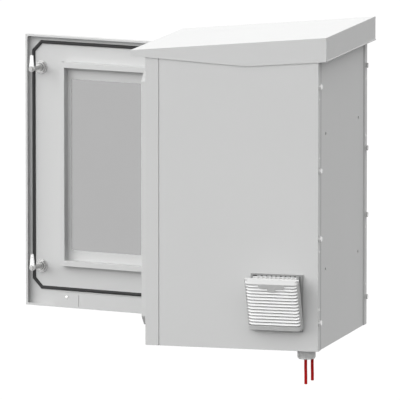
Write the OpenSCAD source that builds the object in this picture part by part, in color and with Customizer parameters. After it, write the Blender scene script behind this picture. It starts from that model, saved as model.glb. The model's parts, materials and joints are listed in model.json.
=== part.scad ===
// Roadside utility cabinet: a sheet-metal box with a glazed door, a sloping roof,
// a side air filter and a cable gland. Origin: middle of the four holes in the rear panel.
// +Z is up, the door is on the -Y side and the rear panel's outer face is the plane Y = 0.

/* [Body] */
// Width over the two side panels
body_width = 520; // [500:5:560]
// Depth from the front frame's face to the back of the side panels
body_depth = 470; // [450:5:520]
// Height of the box without its roof
body_height = 775; // [765:5:800]
// Thickness of the folded sheets of the box and the door
sheet = 2; // [1.5:0.25:2.25]
// Width of the flange that each side panel folds over the rear
rear_flange = 28; // [24:1:34]
// Distance of the rear bolts from the side
bolt_inset = 13; // [11:0.5:15]

/* [Front frame] */
// Depth of the front frame
frame_depth = 36; // [30:1:42]
// Open seam between the front frame and the panels behind it
seam_gap = 3; // [1:0.5:5]
// Distance of the sealing rim from the sides of the box
rim_inset = 18; // [17:0.5:20]
// Distance of the sealing rim above the bottom of the box
rim_base = 48; // [44:1:54]
// Distance of the sealing rim below the top of the box
rim_head = 53; // [48:1:58]
// Depth of the sealing rim behind the front frame's face
rim_depth = 28; // [24:1:29]
// Slanted corners of the sealing rim
rim_chamfer = 25; // [15:1:32]

/* [Wall fixing] */
// Distance between the fixing holes across the rear panel
fixing_x = 345; // [300:5:370]
// Distance between the fixing holes up the rear panel
fixing_z = 360; // [300:5:420]
// Diameter of a fixing hole
fixing_bore = 9; // [7:0.5:11]

/* [Roof] */
// Roof overhang in front of the box
roof_front = 40; // [34:1:55]
// Roof overhang behind the box
roof_back = 22; // [18:1:30]
// Rise of the roof from its front edge to its back edge
roof_rise = 48; // [35:1:60]
// Depth of the roof's front lip
roof_lip = 15.5; // [14:0.5:17]
// Drop of the skirt's point below the front lip's lower edge
skirt_drop = 18; // [8:1:24]
// Thickness of the roof sheet
roof_sheet = 1.5; // [1:0.25:2]

/* [Door] */
// Height of the door
door_height = 742; // [736:1:746]
// Angle that the door stands open
door_open = 103.3; // [80:0.1:104]
// Distance from the front frame's face to the inner face of the door sheet
door_standoff = 21; // [20:0.5:22]
// Width of the lip folded in around the door
lip_width = 6; // [5:0.5:8]
// Thickness of the door gasket
gasket_thick = 5; // [4:0.5:6]
// Width of the door gasket
gasket_width = 9; // [7:0.5:9.5]
// Width of the window
window_width = 250; // [200:2:256]
// Height of the window
window_height = 468; // [400:2:476]

/* [Locks] */
// Distance of the lock axes from the door's free edge
lock_inset = 41; // [41:0.5:46]
// Height of the lower lock above the door's lower edge
lock_low = 108; // [100:1:130]
// Height of the upper lock above the door's lower edge
lock_high = 652; // [630:1:660]
// Length of the cam tongue from the lock axis
tongue_length = 37; // [30:1:37]

/* [Air filter] */
// Width of the louvred cover
filter_width = 147; // [140:1:156]
// Height of the louvred cover
filter_height = 150; // [146:1:158]
// Distance of the filter's middle in front of the rear panel
filter_y = 108.5; // [104:0.5:130]
// Height of the cover's lower edge above the bottom of the box
filter_base_z = 53.5; // [46:0.5:70]
// Angle that the cover stands open
cover_tilt = 19; // [5:1:19]
// Number of louvre slats
slat_count = 13; // [9:1:13]

/* [Cable gland] */
// Distance of the gland from the middle of the box
gland_x = 170; // [140:1:185]
// Distance of the gland in front of the rear panel
gland_y = 52; // [48:1:70]
// Radius of the gland's dome nut
gland_radius = 24; // [23:0.5:26]
// Diameter of a wire
wire_diameter = 8; // [6:0.5:8.5]

/* [Hidden] */
$fn = 48;

paint = "gainsboro";
steel = "silver";
black = "dimgray";
fit = 0.06;
clear = 0.3;

// Box planes
half_w = body_width / 2;
low_z = -body_height / 2;
high_z = body_height / 2;
front_y = sheet - body_depth;
frame_back = front_y + frame_depth;
panel_front = frame_back + seam_gap;
bolt_x = half_w - bolt_inset;
bolt_zs = [for (share = [0.805, 0.232]) for (side = [-1, 1]) side * share * high_z];
rivet_zs = [for (share = [0.716, 0.32]) for (side = [-1, 1]) side * share * high_z];
pan_flange = 20;
joggle_depth = 20;
joggle_weld = 6;
rear_fold = 30;
rear_fold_relief = 25;

// M8 bolts, washers and nuts, and the small rivets
bolt_radius = 4;
bolt_flats = 13;
bolt_head = 5.3;
bolt_tail = 10;
nut_height = 6.5;
bolt_washer_radius = 8;
bolt_washer = 1.6;
rivet_radius = 2;
rivet_head_radius = 3.6;
rivet_head = 1;
rivet_tail_radius = 2.8;
rivet_tail = 3;
rivet_bore = 1.2;

// Roof planes, with the slope of the roof sheet in the depth direction
roof_half_w = half_w + 0.8 + roof_sheet;
roof_y0 = front_y - roof_front;
roof_y1 = sheet + roof_back;
roof_z0 = high_z + 6.8;
roof_slope = roof_rise / (roof_y1 - roof_y0);
lip_z = roof_z0 - roof_lip;
skirt_y = roof_y0 + 0.595 * (roof_y1 - roof_y0);
rail_y = [front_y + 30, -20];
rail_x = half_w - 40;
rail_width = 30;
roof_bolt_radius = 3;
roof_bolt_flats = 10;
roof_bolt_head = 4;
roof_nut_height = 5;
roof_bolt_tail = 7;
drip_edge = 1;
drip_height = 3;
roof_bolt_ys = [rail_y[0] + 50, rail_y[1] - 40];
function roof_under(y) = roof_z0 + (y - roof_y0) * roof_slope - roof_sheet;

// Equipment plate, with corners pressed back so that its nuts stay below its face
plate_half_w = half_w - 40;
plate_z = high_z - 57;
plate_thick = 2.5;
plate_gap = 12;
plate_step = 12;
plate_corner = 45;
stud_inset = 18;
stud_radius = 8;
stud_thread = 11.5;

// Door planes, written for the closed door
door_half_w = half_w - 1;
door_z0 = low_z;
door_z1 = low_z + door_height;
door_in = front_y - door_standoff;
door_out = door_in - sheet;
door_lip = front_y - 5;
rim_reach = door_standoff - gasket_thick - clear;
rim_back = front_y + rim_depth;
pivot_out = 8;
pivot_x = -(half_w - rim_inset + pivot_out);
pivot_y = front_y - 14;
hinge_flange_gap = 11;
knuckle_radius = 4;
pin_radius = 2.4;
pin_head = 1.6;
leaf_thick = 2;
leaf_half_height = 25;
hinge_zs = [low_z + 0.16 * door_height, low_z + 0.84 * door_height];
hinge_mid = 19;
hinge_length = 56;
stiff_half_w = door_half_w - 108;
stiff_z = [low_z + 114, low_z + 671];
stiff_width = 15;
stiff_depth = 20;
stiff_wall = 1.5;
window_z = low_z + 390;
pane_lap = 15;
tape_thick = 1;
pane_thick = 4;
rail_end_x = door_half_w - 90;
rail_height = 39;
rail_hole_radius = 3.5;
rail_hole = [38, 28.5];
rail_slit = 75;
rail_slit_width = 1.5;
rail_slit_z = [5, 36];
tape_overlap = 13;

// Lock pieces, along the lock axis of the closed door
lock_x = door_half_w - lock_inset;
lock_zs = [low_z + lock_low, low_z + lock_high];
barrel_radius = 10;
shaft_radius = 6;
shaft_square = 8;
shield_radius = 15;
shield_thick = 5;
washer_radius = 18;
washer_thick = 2.5;
lock_nut_flats = 27;
lock_nut_height = 6.5;
barrel_end = door_in + 14;
cam_y = rim_back + 1.5;
cam_thick = 4;
cam_hub_radius = 8;
tongue_root = 7.6;
tongue_tip = 4;
cam_screw_flats = 10;
cam_screw_head = 4;
cam_washer = 1.5;

// Filter planes, with the cover's hinge axis along Y
base_thick = 6;
base_inset = 3;
base_top = filter_height - 1;
cover_back = half_w + base_thick + 1;
cover_z0 = low_z + filter_base_z;
cover_depth = 16;
cover_skirt = 7;
cover_wall = 2.5;
cover_bevel = 9;
cover_hinge_x = 4;
cover_hinge_z = 7;
cover_pin_radius = 2;
lug_thick = 4;
lug_z = [4, 10];
lug_reach = 6;
slat_pitch = 9.2;
tub_wall = 1.5;
tub_half_w = filter_width / 2 - 9;
tub_z = [10, filter_height - 4.5];
tub_depth = 40;
basket_half_w = tub_half_w - 5.5;
basket_z = [18, filter_height - 10];
basket_depth = 32;
basket_rib_count = 9;
basket_rim = 6;

// Gland heights below the floor, and the wires' routes from the insert's face
gland_hex = 8;
gland_flats = 46;
gland_nut_flats = 50;
gland_nut = 6;
gland_drop = 32.5;
thread_radius = 19.7;
insert_radius = 20.6;
insert_holes = 15.3;
wire_1_route = [[14.5, 1.5, 0], [14.5, 1.5, -22], [14.5, 2, -44], [14.5, 2, -66]];
wire_2_route = [[-4, 14.5, 0], [-4, 14.5, -20], [-4, 15, -40], [-4, 15, -58]];

// Slab of an XZ outline between two Y planes
module slab(y0, y1) {
  translate([0, y1, 0]) rotate([90, 0, 0]) linear_extrude(height = y1 - y0) children();
}

// Slab of a YZ outline between two X planes
module side_slab(x0, x1) {
  translate([x0, 0, 0]) rotate([90, 0, 90]) linear_extrude(height = x1 - x0) children();
}

// Box between two corners
module block(low, high) {
  translate(low) cube(high - low);
}

// Cylinder along Y between two planes, standing at [x, z]
module bar_y(x, z, radius, y0, y1, sides = 48) {
  translate([x, y1, z]) rotate([90, 0, 0]) cylinder(r = radius, h = y1 - y0, $fn = sides);
}

// Hexagon along Y, given its width across flats
module hex_y(x, z, flats, y0, y1) {
  bar_y(x, z, flats / sqrt(3), y0, y1, 6);
}

// Centred rectangle in XZ
module face(half_width, z0, z1) {
  translate([-half_width, z0]) square([2 * half_width, z1 - z0]);
}

// Sealing outline with slanted corners, moved out by a distance from the rim's outer face
module seal_outline(out) {
  w = half_w - rim_inset + out;
  z0 = low_z + rim_base - out;
  z1 = high_z - rim_head + out;
  c = rim_chamfer + out * (2 - sqrt(2));
  polygon([
    [-w + c, z0], [w - c, z0], [w, z0 + c], [w, z1 - c],
    [w - c, z1], [-w + c, z1], [-w, z1 - c], [-w, z0 + c]
  ]);
}

// Places the closed door's pieces at the angle that the door stands open
module on_door() {
  translate([pivot_x, pivot_y, 0]) rotate([0, 0, -door_open]) translate([-pivot_x, -pivot_y, 0])
    children();
}

// Places pieces given from the cover's lower back edge: X outward, Y across, Z up the cover
module on_cover() {
  translate([cover_back + cover_hinge_x, -filter_y, cover_z0 + cover_hinge_z])
    rotate([0, cover_tilt, 0])
      translate([-cover_hinge_x, 0, -cover_hinge_z]) children();
}

// Folded front frame: outer walls, front face, forward sealing rim and a joggle behind the seam
module front_frame() {
  color(paint) {
    slab(front_y, frame_back) difference() {
      face(half_w, low_z, high_z);
      face(half_w - sheet, low_z + sheet, high_z - sheet);
    }
    slab(front_y, front_y + sheet) difference() {
      face(half_w - sheet / 2, low_z + sheet / 2, high_z - sheet / 2);
      seal_outline(-sheet / 2);
    }
    slab(front_y - rim_reach, rim_back) difference() {
      seal_outline(0);
      seal_outline(-sheet);
    }
    joggle(sheet / 2, frame_back - joggle_weld, frame_back);
    joggle(sheet + clear, frame_back - 1, frame_back + joggle_depth);
  }
}

// Ring inside the frame's outer walls, its outer face a distance in from the box's outside
module joggle(inset, y0, y1) {
  inner = 2 * sheet;
  slab(y0, y1) difference() {
    face(half_w - inset, low_z + inset, high_z - inset);
    face(half_w - inner, low_z + inner, high_z - inner);
  }
}

// Plate with upturned edges at the sides and the rear, drawn as the floor
module pan() {
  w = half_w - sheet;
  back = -sheet;
  flange_y0 = frame_back + joggle_depth + 5;
  block([-w, panel_front, low_z], [w, back, low_z + sheet]);
  for (side = [-1, 1]) {
    x = side * (w - sheet / 2);
    block([x - sheet / 2, flange_y0, low_z], [x + sheet / 2, back - 8, low_z + pan_flange]);
  }
  block([-w + 30, back - sheet, low_z], [w - 30, back, low_z + pan_flange]);
}

module floor_pan() {
  color(paint) difference() {
    pan();
    translate([gland_x, -gland_y, low_z - 1]) cylinder(r = thread_radius + clear, h = sheet + 2);
  }
}

module top_plate() {
  color(paint) difference() {
    mirror([0, 0, 1]) pan();
    roof_bolt_places() translate([0, 0, high_z - sheet - 1])
      cylinder(r = roof_bolt_radius + clear, h = sheet + 2);
  }
}

// Rear panel with side flanges folded forward, the wall fixing holes and the bolt holes
module rear_panel() {
  w = half_w - sheet;
  color(paint) difference() {
    union() {
      slab(-sheet, 0) face(w, low_z, high_z);
      for (side = [-1, 1]) {
        x = side * (w - sheet / 2);
        block([x - sheet / 2, -rear_fold, low_z + rear_fold_relief],
          [x + sheet / 2, -sheet / 2, high_z - rear_fold_relief]);
      }
    }
    for (x = [-fixing_x / 2, fixing_x / 2]) for (z = [-fixing_z / 2, fixing_z / 2])
      bar_y(x, z, fixing_bore / 2, -sheet - 1, 1);
    rear_holes();
  }
}

// Holes for the bolts and rivets that join the side panels to the rear panel
module rear_holes() {
  for (x = [-bolt_x, bolt_x]) {
    for (z = bolt_zs) bar_y(x, z, bolt_radius + clear, -sheet - 1, sheet + 1);
    for (z = rivet_zs) bar_y(x, z, rivet_radius + clear, -sheet - 1, sheet + 1);
  }
}

// Side panel with its flange folded over the rear, drawn on the +X side
module side_sheet() {
  difference() {
    union() {
      block([half_w - sheet, panel_front, low_z], [half_w, sheet, high_z]);
      block([half_w - rear_flange, 0, low_z], [half_w, sheet, high_z]);
    }
    rear_holes();
  }
}

module right_panel() {
  cut = tub_half_w + tub_wall + clear;
  z0 = cover_z0 + tub_z[0] - tub_wall - clear;
  z1 = cover_z0 + tub_z[1] + tub_wall + clear;
  color(paint) difference() {
    side_sheet();
    block([half_w - sheet - 1, -filter_y - cut, z0], [half_w + 1, -filter_y + cut, z1]);
  }
}

module left_panel() {
  color(paint) mirror([1, 0, 0]) side_sheet();
}

// Hexagon bolts with washers outside and nuts inside
module panel_bolts() {
  inside = -sheet;
  seat = sheet + bolt_washer;
  color(steel) for (x = [-bolt_x, bolt_x]) for (z = bolt_zs) {
    bar_y(x, z, bolt_washer_radius, sheet, seat);
    hex_y(x, z, bolt_flats, seat, seat + bolt_head);
    bar_y(x, z, bolt_radius, inside - bolt_tail, seat);
    hex_y(x, z, bolt_flats, inside - nut_height, inside);
  }
}

// Blind rivets with an open middle
module panel_rivets() {
  color(steel) for (x = [-bolt_x, bolt_x]) for (z = rivet_zs) difference() {
    union() {
      bar_y(x, z, rivet_head_radius, sheet, sheet + rivet_head);
      bar_y(x, z, rivet_radius, -sheet - rivet_tail, sheet + rivet_head / 2);
      bar_y(x, z, rivet_tail_radius, -sheet - rivet_tail, -sheet);
    }
    bar_y(x, z, rivet_bore, -sheet - 1, sheet + 2);
  }
}

// Folded roof: sloping sheet, front lip, rear fascia with a drip edge and pointed side skirts
module roof() {
  rear_z = roof_z0 + roof_rise;
  skirt = [
    [roof_y0, roof_z0], [roof_y1, rear_z], [roof_y1, lip_z],
    [skirt_y, lip_z - skirt_drop], [roof_y0, lip_z]
  ];
  top = [
    [roof_y0, roof_z0], [roof_y1, rear_z],
    [roof_y1, roof_under(roof_y1)], [roof_y0, roof_under(roof_y0)]
  ];
  color(paint) {
    for (x = [-roof_half_w, roof_half_w - roof_sheet]) side_slab(x, x + roof_sheet) polygon(skirt);
    side_slab(-roof_half_w, roof_half_w) polygon(top);
    block([-roof_half_w, roof_y0, lip_z],
      [roof_half_w, roof_y0 + roof_sheet, roof_under(roof_y0) + roof_sheet / 3]);
    block([-roof_half_w, roof_y1 - roof_sheet, lip_z], [roof_half_w, roof_y1, rear_z - roof_sheet]);
    block([-roof_half_w, roof_y1 - roof_sheet, lip_z],
      [roof_half_w, roof_y1 + drip_edge, lip_z + drip_height]);
  }
}

// Wedge-shaped channels that carry the roof on the top plate
module roof_rails() {
  web = [
    [rail_y[0], high_z], [rail_y[1], high_z],
    [rail_y[1], roof_under(rail_y[1])], [rail_y[0], roof_under(rail_y[0])]
  ];
  cap = [
    [rail_y[0], roof_under(rail_y[0])], [rail_y[1], roof_under(rail_y[1])],
    [rail_y[1], roof_under(rail_y[1]) - sheet], [rail_y[0], roof_under(rail_y[0]) - sheet]
  ];
  color(steel) for (side = [0, 1]) mirror([side, 0, 0]) difference() {
    union() {
      side_slab(rail_x - sheet, rail_x) polygon(web);
      side_slab(rail_x - rail_width, rail_x) polygon(cap);
      block([rail_x - rail_width, rail_y[0], high_z], [rail_x, rail_y[1], high_z + sheet]);
    }
    roof_bolt_places() translate([0, 0, high_z - 1])
      cylinder(r = roof_bolt_radius + clear, h = sheet + 2);
  }
}

// Repeats a piece at each roof bolt
module roof_bolt_places() {
  for (side = [-1, 1]) for (y = roof_bolt_ys)
    translate([side * (rail_x - rail_width / 2), y, 0]) children();
}

module roof_bolts() {
  under = high_z - sheet;
  hex_radius = roof_bolt_flats / sqrt(3);
  color(steel) roof_bolt_places() {
    translate([0, 0, under - roof_bolt_head]) cylinder(r = hex_radius, h = roof_bolt_head, $fn = 6);
    translate([0, 0, under - 1]) cylinder(r = roof_bolt_radius, h = 2 * sheet + roof_bolt_tail + 1);
    translate([0, 0, high_z + sheet]) cylinder(r = hex_radius, h = roof_nut_height, $fn = 6);
  }
}

// Repeats a piece at each stud of the equipment plate
module stud_places() {
  for (x = [-1, 1]) for (z = [-1, 1])
    translate([x * (plate_half_w - stud_inset), 0, z * (plate_z - stud_inset)]) children();
}

// Equipment plate, its corners pressed back towards the rear panel
module mounting_plate() {
  seat = -sheet - plate_gap;
  back = seat - plate_step;
  inner_x = plate_half_w - plate_corner;
  inner_z = plate_z - plate_corner;
  color(steel) difference() {
    union() {
      slab(back - plate_thick, back) face(plate_half_w, -plate_z, plate_z);
      plate_corners() block([inner_x, back - plate_thick, inner_z], [plate_half_w, seat, plate_z]);
    }
    plate_corners() block([inner_x + plate_thick, back - plate_thick - 1, inner_z + plate_thick],
      [plate_half_w + 1, seat - plate_thick, plate_z + 1]);
    stud_places() bar_y(0, 0, bolt_radius + clear, seat - plate_thick - 1, seat + 1);
  }
}

// Repeats a piece of the upper right corner at all four corners
module plate_corners() {
  for (x = [0, 1]) for (z = [0, 1]) mirror([x, 0, 0]) mirror([0, 0, z]) children();
}

// Shouldered studs welded to the rear panel
module plate_studs() {
  foot = -sheet;
  color(steel) stud_places() {
    bar_y(0, 0, stud_radius, foot - plate_gap, foot);
    bar_y(0, 0, bolt_radius, foot - plate_gap - stud_thread, foot - 1);
  }
}

module plate_nuts() {
  seat = -sheet - plate_gap - plate_thick;
  color(steel) stud_places() difference() {
    hex_y(0, 0, bolt_flats, seat - nut_height, seat);
    bar_y(0, 0, bolt_radius + clear, seat - nut_height - 1, seat + 1);
  }
}

// Places pieces given from the floor's underside at the gland
module at_gland() {
  translate([gland_x, -gland_y, low_z]) children();
}

module gland_body() {
  color("lightgray") at_gland() difference() {
    union() {
      translate([0, 0, -gland_hex]) cylinder(r = gland_flats / sqrt(3), h = gland_hex, $fn = 6);
      translate([0, 0, -gland_hex]) cylinder(r = thread_radius, h = gland_hex + sheet + 12);
    }
    translate([0, 0, -gland_hex - 1]) cylinder(r = thread_radius - 4, h = gland_hex + sheet + 14);
  }
}

module gland_locknut() {
  color("lightgray") at_gland() translate([0, 0, sheet]) difference() {
    cylinder(r = gland_nut_flats / sqrt(3), h = gland_nut, $fn = 6);
    translate([0, 0, -1]) cylinder(r = thread_radius + clear, h = gland_nut + 2);
  }
}

// Dome nut with a rounded lower edge and grip ribs
module gland_dome() {
  round_edge = 2.5;
  grip_count = 20;
  color("lightgray") at_gland() {
    difference() {
      union() {
        translate([0, 0, -gland_drop + round_edge])
          cylinder(r = gland_radius - 0.8, h = gland_drop - gland_hex - round_edge);
        rotate_extrude() translate([gland_radius - 0.8 - round_edge, -gland_drop + round_edge])
          intersection() {
            circle(r = round_edge);
            translate([0, -round_edge]) square(round_edge);
          }
        translate([0, 0, -gland_drop]) cylinder(r = gland_radius - 0.8 - round_edge, h = round_edge);
        for (turn = [0 : 360 / grip_count : 359]) rotate([0, 0, turn])
          block([gland_radius - 2, -1.5, -gland_drop + round_edge], [gland_radius, 1.5, -gland_hex - 2]);
      }
      translate([0, 0, -gland_drop - 1])
        cylinder(r = insert_radius - 0.6 + clear, h = gland_drop - gland_hex + 2);
    }
  }
}

// Rubber insert with the wires in two of its holes and plugs in the others
module gland_insert() {
  color(black) at_gland() difference() {
    translate([0, 0, -gland_drop]) cylinder(r = insert_radius - 0.6, h = gland_drop - gland_hex);
    for (turn = [195, 285]) rotate([0, 0, turn]) translate([insert_holes, 0, -gland_drop - 1])
      cylinder(r = 1.5 + clear, h = 7);
  }
}

module gland_plugs() {
  color(black) at_gland() for (turn = [195, 285]) rotate([0, 0, turn])
    translate([insert_holes, 0, -gland_drop]) {
      translate([0, 0, -1.5]) cylinder(r = 2, h = 1.5);
      cylinder(r = 1.5, h = 5);
    }
}

// Tube of even thickness swept along a route that runs nearly straight down
module wire(route) {
  sides = 12;
  rings = len(route);
  ring_points = [for (p = route) for (k = [0 : sides - 1])
    p + wire_diameter / 2 * [cos(360 * k / sides), sin(360 * k / sides), 0]];
  walls = [for (r = [0 : rings - 2]) for (k = [0 : sides - 1]) let(n = (k + 1) % sides)
    [r * sides + k, r * sides + n, (r + 1) * sides + n, (r + 1) * sides + k]];
  first = [for (k = [sides - 1 : -1 : 0]) k];
  last = [for (k = [0 : sides - 1]) (rings - 1) * sides + k];
  polyhedron(points = ring_points, faces = concat([first], walls, [last]));
}

module wire_1() {
  color("firebrick") at_gland() translate([0, 0, -gland_drop]) wire(wire_1_route);
}

module wire_2() {
  color("firebrick") at_gland() translate([0, 0, -gland_drop]) wire(wire_2_route);
}

// Filter base: outer plate, tub through the panel, inner bars and the cover's hinge lugs
module filter_base() {
  half = filter_width / 2;
  tub_x = half_w - tub_depth;
  lug_y = half - cover_wall - 0.8;
  color(paint) translate([0, -filter_y, cover_z0]) {
    difference() {
      union() {
        block([half_w, base_inset - half, 0],
          [half_w + base_thick, half - base_inset, base_top]);
        block([tub_x, -tub_half_w - tub_wall, tub_z[0] - tub_wall],
          [half_w + 1, tub_half_w + tub_wall, tub_z[1] + tub_wall]);
      }
      block([tub_x - 1, -tub_half_w, tub_z[0]], [half_w + base_thick + 1, tub_half_w, tub_z[1]]);
    }
    for (k = [-4 : 4]) translate([tub_x, k * tub_half_w / 5, 0])
      block([0, -tub_wall, tub_z[0] - 1], [2 * tub_wall, tub_wall, tub_z[1] + 1]);
    for (side = [0, 1]) mirror([0, side, 0]) {
      block([half_w + base_thick - 1, lug_y - lug_thick, lug_z[0]],
        [cover_back + lug_reach, lug_y, lug_z[1]]);
      translate([cover_back + cover_hinge_x, lug_y - 1, cover_hinge_z])
        rotate([-90, 0, 0]) cylinder(r = cover_pin_radius, h = cover_wall + 1.1);
    }
  }
}

// Louvred cover: bevelled frame, slats that shed rain and an opening tab
module filter_cover() {
  half = filter_width / 2;
  slat_half_w = half - cover_bevel - 5;
  slat_top = filter_height - cover_bevel - 3.5;
  slat_low = slat_top - slat_count * slat_pitch;
  color(paint) on_cover() {
    difference() {
      cover_body(0);
      cover_body(cover_wall);
      block([-1, -half + cover_wall, cover_wall],
        [cover_skirt, half - cover_wall, filter_height - cover_wall]);
      block([0, -slat_half_w, slat_low], [cover_depth + 1, slat_half_w, slat_top]);
      block([-1, -half - 1, -1], [3, half + 1, 4.5]);
      for (side = [0, 1]) mirror([0, side, 0])
        translate([cover_hinge_x, half - cover_wall - 1, cover_hinge_z])
          rotate([-90, 0, 0]) cylinder(r = cover_pin_radius + fit, h = cover_wall + 2);
    }
    for (k = [0 : slat_count - 1]) translate([0, 0, slat_top - k * slat_pitch])
      slat(slat_half_w + 0.5);
    opening_tab(slat_top);
  }
}

// Frustum outline of the cover, shrunk by a wall thickness for its inside
module cover_body(wall) {
  half = filter_width / 2;
  hull() {
    block([wall > 0 ? -1 : 0, -half + wall, wall], [cover_skirt, half - wall, filter_height - wall]);
    block([cover_depth - wall - 1, -half + cover_bevel + wall, 6 + wall],
      [cover_depth - wall, half - cover_bevel - wall, filter_height - cover_bevel - wall]);
  }
}

// One slat, its outer edge low, hanging from the top of its row
module slat(half_width) {
  in_x = cover_depth - 9;
  out_x = cover_depth - 0.4;
  translate([0, half_width, 0]) rotate([90, 0, 0]) linear_extrude(height = 2 * half_width)
    polygon([[in_x, -0.4], [in_x, -2.6], [out_x, -8.6], [out_x, -6.2]]);
}

// Stepped plate at the top of the cover where a finger or a blade lifts it
module opening_tab(slat_top) {
  half_wide = 37;
  half_narrow = 11;
  side_slab(cover_depth - 3, cover_depth) polygon([
    [-half_wide, slat_top + 1], [-half_wide + 5, slat_top - slat_pitch],
    [-half_narrow, slat_top - slat_pitch], [-half_narrow + 1.5, slat_top - 2 * slat_pitch],
    [half_narrow - 1.5, slat_top - 2 * slat_pitch], [half_narrow, slat_top - slat_pitch],
    [half_wide - 5, slat_top - slat_pitch], [half_wide, slat_top + 1]
  ]);
}

// Open tray behind the cover that carries the filter mat, slotted and ribbed on its top
module filter_basket() {
  half = filter_width / 2 - cover_wall;
  w = basket_half_w;
  pitch = 2 * w / (basket_rib_count + 1);
  color(paint) on_cover() {
    difference() {
      union() {
        block([0, -half, 16], [2, half, filter_height - cover_wall]);
        block([-basket_depth, -w, basket_z[0]], [1, w, basket_z[1]]);
      }
      block([-basket_depth - 1, -w + 1.5, basket_z[0] + 1.5], [3, w - 1.5, basket_z[1] - 1.5]);
      for (k = [0 : basket_rib_count]) translate([0, (k + 0.5) * pitch - w, basket_z[1]])
        block([basket_rim - basket_depth, -pitch / 4, -2], [-2, pitch / 4, 2]);
    }
    for (k = [1 : basket_rib_count]) {
      y = -w + k * pitch;
      block([-basket_depth, y - 1.5, basket_z[0] + 1], [-basket_depth + 2, y + 1.5, basket_z[1] - 1]);
      block([-basket_depth + 2, y - 2, basket_z[1] - 0.5], [-1, y + 2, basket_z[1] + 1.2]);
    }
  }
}

module filter_mat() {
  w = basket_half_w - 1.5 - clear;
  color("white") on_cover()
    block([-basket_depth + 2, -w, basket_z[0] + 1.8], [-basket_depth + 22, w, basket_z[1] - 1.8]);
}

// Frame halves of the two concealed hinges: leaf, arm and middle knuckle
module hinge_frame_halves() {
  color(steel) for (z = hinge_zs) translate([0, 0, z]) difference() {
    union() {
      block([-half_w + 5, front_y - leaf_thick, -leaf_half_height],
        [-half_w + rim_inset - 1.5, front_y, leaf_half_height]);
      block([pivot_x - knuckle_radius / 2, pivot_y, -hinge_mid / 2],
        [pivot_x + knuckle_radius, front_y - 1, hinge_mid / 2]);
      translate([pivot_x, pivot_y, -hinge_mid / 2]) cylinder(r = knuckle_radius, h = hinge_mid);
    }
    translate([pivot_x, pivot_y, -hinge_mid]) cylinder(r = pin_radius + fit, h = 2 * hinge_mid);
  }
}

module hinge_pins() {
  color(steel) for (z = hinge_zs) translate([pivot_x, pivot_y, z - hinge_length / 2]) {
    cylinder(r = pin_radius, h = hinge_length + 1);
    translate([0, 0, hinge_length + clear]) cylinder(r = knuckle_radius - clear, h = pin_head);
  }
}

// Door halves: two outer knuckles on a strip along the door sheet
module hinge_door_halves() {
  gap = hinge_mid / 2 + 0.5;
  end = hinge_length / 2;
  color(steel) on_door() for (z = hinge_zs) translate([pivot_x, 0, z]) difference() {
    union() {
      block([0, door_in, -end], [knuckle_radius, door_in + leaf_thick, end]);
      for (side = [0, 1]) mirror([0, 0, side]) {
        block([-knuckle_radius, door_in, gap], [knuckle_radius, pivot_y, end]);
        translate([0, pivot_y, gap]) cylinder(r = knuckle_radius, h = end - gap);
      }
    }
    translate([0, pivot_y, -end - 1]) cylinder(r = pin_radius + fit, h = hinge_length + 2);
  }
}

// Door tray: sheet with the window opening, folded edges, and lips on three of them
module door_panel() {
  w = door_half_w;
  color(paint) on_door() difference() {
    union() {
      slab(door_out, door_in) face(w, door_z0, door_z1);
      block([w - sheet, door_out, door_z0], [w, door_lip, door_z1]);
      block([-w, door_out, door_z0], [-w + sheet, front_y - hinge_flange_gap, door_z1]);
      for (z = [door_z0, door_z1 - sheet]) block([-w, door_out, z], [w, door_lip, z + sheet]);
      block([w - lip_width, door_lip - sheet, door_z0], [w, door_lip, door_z1]);
      block([-w, door_lip - sheet, door_z1 - lip_width], [w, door_lip, door_z1]);
      block([rail_end_x, door_lip - sheet, door_z0], [w, door_lip, door_z0 + lip_width]);
    }
    slab(door_out - 1, door_in + 1)
      face(window_width / 2, window_z - window_height / 2, window_z + window_height / 2);
    for (z = lock_zs) bar_y(lock_x, z, barrel_radius + clear, door_out - 1, door_in + 1);
    for (z = hinge_zs) translate([0, 0, z])
      block([-w - 1, door_in, -hinge_mid / 2 - 2], [-w + sheet + 1, front_y, hinge_mid / 2 + 2]);
  }
}

module door_gasket() {
  middle = -sheet / 2;
  color(black) on_door() slab(door_in, door_in + gasket_thick) difference() {
    seal_outline(middle + gasket_width / 2);
    seal_outline(middle - gasket_width / 2);
  }
}

// Channels welded to the door around the window, the upright ones open at their ends
module stiffener_frame() {
  w = stiff_half_w;
  z0 = stiff_z[0];
  z1 = stiff_z[1];
  color(paint) on_door() {
    for (x = [-w, w - stiff_width]) difference() {
      block([x, door_in, z0], [x + stiff_width, door_in + stiff_depth, z1]);
      block([x + stiff_wall, door_in - 1, z0 - 1],
        [x + stiff_width - stiff_wall, door_in + stiff_depth - stiff_wall, z1 + 1]);
    }
    for (z = [z0, z1 - stiff_width]) difference() {
      block([-w + stiff_width - stiff_wall / 3, door_in, z],
        [w - stiff_width + stiff_wall / 3, door_in + stiff_depth, z + stiff_width]);
      block([-w + stiff_width, door_in - 1, z + stiff_wall],
        [w - stiff_width, door_in + stiff_depth - stiff_wall, z + stiff_width - stiff_wall]);
    }
  }
}

// Plate along the foot of the door, flush with the lip, with a hole and a slit
module bottom_rail() {
  z0 = door_z0 + sheet;
  slit_x = rail_end_x - rail_slit;
  inner = door_lip - sheet - 1;
  outer = door_lip + 1;
  color(paint) on_door() difference() {
    block([pivot_x + 5, door_lip - sheet, z0], [rail_end_x, door_lip, z0 + rail_height]);
    bar_y(rail_end_x - rail_hole[0], door_z0 + rail_hole[1], rail_hole_radius, inner, outer);
    block([slit_x - rail_slit_width / 2, inner, door_z0 + rail_slit_z[0]],
      [slit_x + rail_slit_width / 2, outer, door_z0 + rail_slit_z[1]]);
  }
}

module window_pane() {
  w = window_width / 2 + pane_lap;
  h = window_height / 2 + pane_lap;
  color("gray", 0.6) on_door() slab(door_out - tape_thick - pane_thick, door_out - tape_thick)
    face(w, window_z - h, window_z + h);
}

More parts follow.
